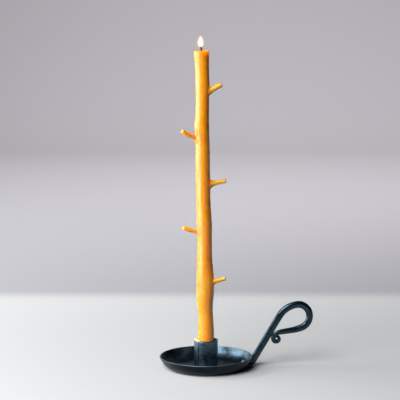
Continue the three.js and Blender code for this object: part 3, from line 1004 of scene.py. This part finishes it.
candle = {
    "voxel": 0.45,
    "smoothRounds": 4,
    "swell": 0.24,      # what the smoothing takes off
    # middle of the leaning stem, and how far out the bark goes over into a stub
    "leanBearing": 170,
    "lean": 4.5,
    "leanHeights": (25, 260),
    "stemRadius": 7.4,
    "stemReach": (9.2, 10.2),
    # bark: long shallow flutes, a finer grain, and a slow unevenness
    "fluteDepth": 0.10,
    "fluteSize": 2.6,
    "fluteStretch": 14,
    "grainDepth": 0.05,
    "grainSize": 0.9,
    "grainStretch": 8,
    # knots and pips: bearing, height, size, how far it stands out
    "pips": (
        (-84, 180.5, 1.3, 0.28),
        (-120, 300.0, 1.6, 0.15),
        (-60, 232.0, 1.5, -0.20),
        (-100, 247.0, 1.2, -0.15),
        (20, 205.0, 1.8, 0.25),
        (95, 262.0, 1.7, 0.22),
        (120, 141.0, 2.0, 0.28),
        (60, 88.0, 1.6, -0.25),
        (-70, 127.0, 1.4, -0.18),
        (150, 70.0, 1.8, 0.2),
    ),
    # creases under the stubs: bearing, height, half width in degrees, depth
    "creases": (
        (-150, 242.0, 34, 0.32),
        (-145, 237.5, 28, 0.25),
        (-168, 142.5, 30, 0.25),
        (-18, 187.0, 30, 0.35),
        (-26, 85.5, 38, 0.35),
        (-30, 81.5, 30, 0.25),
    ),
    "creaseTall": 0.55,
    "creaseSag": 1.2,
    # stubs set higher than packed: bearing, height, half height, rise at the root and at the tip
    "risen": (
        (170, 249.0, 10, 3.5, 0.8),
        (170, 148.0, 8, 1.7, 1.7),
        (-10, 297.0, 8, 0.8, 0.8),
    ),
    "risenSpread": (45, 80),
    "risenFade": 8,
    "risenReach": (7, 20),
    # stubs with a slimmer root than packed: bearing, height at the stem, rise in degrees
    "slimmed": (
        (194, 243.7, 35),
        (184, 145.5, 18),
    ),
    "slimBy": 0.36,
    "slimReach": (7.5, 8.5, 10.5, 17),
    "slimSpread": 60,
    "slimFade": (6, 9),
    "burntDown": 0.8,       # lower at the lip than packed
    "burntHeights": (326, 338),
    # ledge on the side towards the lowest stub, where the swelling starts
    "ledgeBearing": -12,
    "ledgeHeight": 114.0,
    "ledgeDepth": 0.45,
    "ledgeWide": 34,
    "ledgeLong": 10,
    "ledgeStep": 1.4,
    "ledgeFade": 2,
}


def turnBetween(one, other):
    return abs((one - other + 180) % 360 - 180)


def slimRoot(values, place, around, reach):
    # draws the root of a stub in towards the middle line of the stub
    start, full, fade, end = values["slimReach"]
    share = values["slimBy"] * blendIn(reach, start, full) * (1 - blendIn(reach, fade, end))
    for stubBearing, height, rise in values["slimmed"]:
        aside = (around - stubBearing + 180) % 360 - 180
        above = place.z - height - (reach - start) * math.tan(math.radians(rise))
        if abs(aside) < values["slimSpread"] and abs(above) < values["slimFade"][1]:
            pull = share * (1 - blendIn(abs(above), *values["slimFade"]))
            across = reach * math.sin(math.radians(aside))
            return bearing(stubBearing + 90, -across * pull, -above * pull)
    return Vector((0, 0, 0))


def barkNoise(place, size, stretch, aside=0):
    # noise drawn out along the stem
    return noise.noise(Vector((place.x + aside, place.y, place.z / stretch)) / size)


def castRelief(values, place, normal):
    lean = values["lean"] * blendIn(place.z, *values["leanHeights"])
    axis = bearing(values["leanBearing"], lean)
    around = math.degrees(math.atan2(place.y - axis.y, place.x - axis.x))
    reach = (place - axis).xy.length
    onStem = 1 - blendIn(reach, *values["stemReach"])
    flutes = barkNoise(place, values["fluteSize"], values["fluteStretch"])
    grains = barkNoise(place, values["grainSize"], values["grainStretch"], 40)
    out = values["swell"] + flutes * values["fluteDepth"] + grains * values["grainDepth"]
    for pipBearing, height, size, proud in values["pips"]:
        across = math.radians(turnBetween(around, pipBearing)) * values["stemRadius"]
        off = math.hypot(across, place.z - height) / size
        if off < 3:
            out += proud * math.exp(-off * off) * onStem
    for creaseBearing, height, wide, depth in values["creases"]:
        turn = turnBetween(around, creaseBearing) / wide
        if turn < 2:
            sag = place.z - height + turn * turn * values["creaseSag"]
            out -= depth * math.exp(-2 * turn ** 2 - (sag / values["creaseTall"]) ** 2) * onStem
    below = values["ledgeHeight"] - place.z
    if 0 < below < values["ledgeLong"]:
        turn = turnBetween(around, values["ledgeBearing"]) / values["ledgeWide"]
        step = blendIn(below, 0, values["ledgeStep"])
        step *= 1 - blendIn(below, values["ledgeFade"], values["ledgeLong"])
        out += values["ledgeDepth"] * step * math.exp(-turn * turn * 1.5) * onStem
    rise = 0
    for stubBearing, height, half, atRoot, atTip in values["risen"]:
        near = 1 - blendIn(turnBetween(around, stubBearing), *values["risenSpread"])
        near *= 1 - blendIn(abs(place.z - height), half, half + values["risenFade"])
        rise += near * (atRoot + (atTip - atRoot) * blendIn(reach, *values["risenReach"]))
    rise -= values["burntDown"] * blendIn(place.z, *values["burntHeights"])
    return normal * out + Vector((0, 0, rise)) + slimRoot(values, place, around, reach)


def makeCandle(values):
    piece = mergedCopyOf("candle_stem", "twigCandle")
    refine(piece, "REMESH", mode="VOXEL", voxel_size=values["voxel"] * mm)
    refine(piece, "SMOOTH", factor=0.5, iterations=values["smoothRounds"])
    moveVertices(piece, lambda place, normal: castRelief(values, place, normal))
    smoothBy(piece, 60)
    dress(piece, "candle")
    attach(piece, "candle")
    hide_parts("candle_stem")


makeCandle(candle)
print("stage: candle cast")


# Wax that set in the cup

setWax = {
    "voxel": 0.35,
    "smoothRounds": 8,
    "mouth": 31.2,
    "outside": 12.5,    # beyond it hangs the drip, shorter than packed
    "dripShare": 0.4,
}


def dripLift(values, place):
    hanging = blendIn(math.hypot(place.x, place.y), values["outside"], values["outside"] + 0.5)
    below = max(0, values["mouth"] - place.z)
    return Vector((0, 0, hanging * below * (1 - values["dripShare"])))


def makeSetWax(values):
    piece = mergedCopyOf("wax_bedding", "setWaxInCup")
    refine(piece, "REMESH", mode="VOXEL", voxel_size=values["voxel"] * mm)
    refine(piece, "SMOOTH", factor=0.5, iterations=values["smoothRounds"])
    moveVertices(piece, lambda place, normal: dripLift(values, place))
    smoothBy(piece, 60)
    dress(piece, "setWax")
    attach(piece, "holder")
    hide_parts("wax_bedding")


makeSetWax(setWax)

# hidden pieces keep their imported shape
for node in ("socket_base", "socket_rivet"):
    dress(frame["nodes"][node], "cup")


# Melted wax in the top of the candle

pool = {
    "lean": 4.85,
    "leanBearing": 170,
    "level": 337.7,
    "depth": 1.1,
    "radius": 6.75,
    "creep": 0.35,      # how far the wax climbs the lip
    "creepWidth": 0.8,
    "creepSteps": (0.7, 0.3),
}


def makePool(values):
    centre = bearing(values["leanBearing"], values["lean"], values["level"] - values["depth"] / 2)
    bpy.ops.object.select_all(action="DESELECT")
    bpy.ops.mesh.primitive_cylinder_add(
        vertices=64, radius=values["radius"] * mm, depth=values["depth"] * mm, location=centre * mm)
    piece = named("meltedPool")
    placeInMesh(piece)
    bpy.ops.object.mode_set(mode="EDIT")
    bpy.ops.mesh.select_mode(type="FACE")
    bpy.ops.mesh.select_all(action="DESELECT")
    mesh = bmesh.from_edit_mesh(piece.data)
    for face in mesh.faces:
        face.select = face.normal.z > 0.5
    bmesh.update_edit_mesh(piece.data)
    for share in values["creepSteps"]:
        bpy.ops.mesh.inset(thickness=values["creepWidth"] * mm / 2)
        bpy.ops.transform.translate(value=(0, 0, -share * values["creep"] * mm))
    bpy.ops.object.mode_set(mode="OBJECT")
    smoothBy(piece, 50)
    dress(piece, "pool")
    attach(piece, "candle")


makePool(pool)


# Wick

wick = {
    "voxel": 0.22,
    "smoothRounds": 3,
    "leanBearing": 170,
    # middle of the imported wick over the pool: height and lean
    "line": ((337.5, 4.85), (339.7, 4.25), (341.9, 4.3), (344.4, 6.1)),
    "aside": 0.45,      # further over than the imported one
    "strands": 3,
    "twist": 2.3,
    "proud": 0.16,
    "thicker": 0.22,
    "fray": 0.35,
    "fraySize": 2.4,        # bumps for each mm
    "frayLength": 2,
}


def leanOf(line, height):
    for (low, lean), (high, nextLean) in zip(line, line[1:]):
        if height < high:
            return lean + (nextLean - lean) * max(0, (height - low) / (high - low))
    return line[-1][1]


def braidShift(values, place, normal):
    start, end = values["line"][0][0], values["line"][-1][0]
    if place.z < start - 1:
        return Vector((0, 0, 0))
    axis = bearing(values["leanBearing"], leanOf(values["line"], place.z))
    around = math.atan2(place.y - axis.y, place.x - axis.x)
    strand = math.cos(values["strands"] * around + math.tau * place.z / values["twist"])
    frayed = noise.noise(place * values["fraySize"]) * values["fray"]
    frayed *= blendIn(place.z, end - values["frayLength"], end)
    aside = bearing(values["leanBearing"], values["aside"] * blendIn(place.z, start, start + 2))
    return normal * (strand * values["proud"] + frayed + values["thicker"]) + aside


def makeWick(values):
    piece = mergedCopyOf("wick", "braidedWick")
    refine(piece, "REMESH", mode="VOXEL", voxel_size=values["voxel"] * mm)
    refine(piece, "SMOOTH", factor=0.5, iterations=values["smoothRounds"])
    moveVertices(piece, lambda place, normal: braidShift(values, place, normal))
    smoothBy(piece, 70)
    dress(piece, "wick")
    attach(piece, "candle")
    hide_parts("wick")


makeWick(wick)
print("stage: pool and wick are in")


# Flame

flame = {
    "lean": 5.9,
    "leanBearing": 170,
    "foot": 341.2,
    "belly": 0.88,      # the smaller, the lower its widest part
    "fullness": 0.85,   # the smaller, the rounder its ends
    "taper": 0.25,
    # from the inside out: width and tip
    "shells": {
        "flameCore": (4.3, 353.0),
        "flameBody": (6.6, 354.8),
        "flameVeil": (8.4, 356.0),
        "flameHalo": (11.0, 357.4),
    },
}


def flameWidth(values, up):
    # a drop: widest a little below its middle, drawn in towards its tip
    if not 1e-6 < up < 1 - 1e-6:
        return 0
    drop = math.sin(math.pi * up ** values["belly"]) ** values["fullness"]
    return drop * (1 - values["taper"] * up)


def makeFlame(values, name):
    centre = bearing(values["leanBearing"], values["lean"])
    width, top = values["shells"][name]
    bpy.ops.object.select_all(action="DESELECT")
    bpy.ops.mesh.primitive_uv_sphere_add(segments=32, ring_count=24, radius=mm)
    piece = named(name)
    placeInMesh(piece)
    for vertex in piece.data.vertices:
        up = min(1, max(0, (vertex.co.z / mm + 1) / 2))
        around = vertex.co.xy.normalized() * flameWidth(values, up) * width / 2
        height = values["foot"] + up * (top - values["foot"])
        vertex.co = Vector((centre.x + around.x, centre.y + around.y, height)) * mm
    smoothBy(piece, 80)
    dress(piece, name)
    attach(piece, "candle")


for shell in flame["shells"]:
    makeFlame(flame, shell)
print("stage: flame lit")
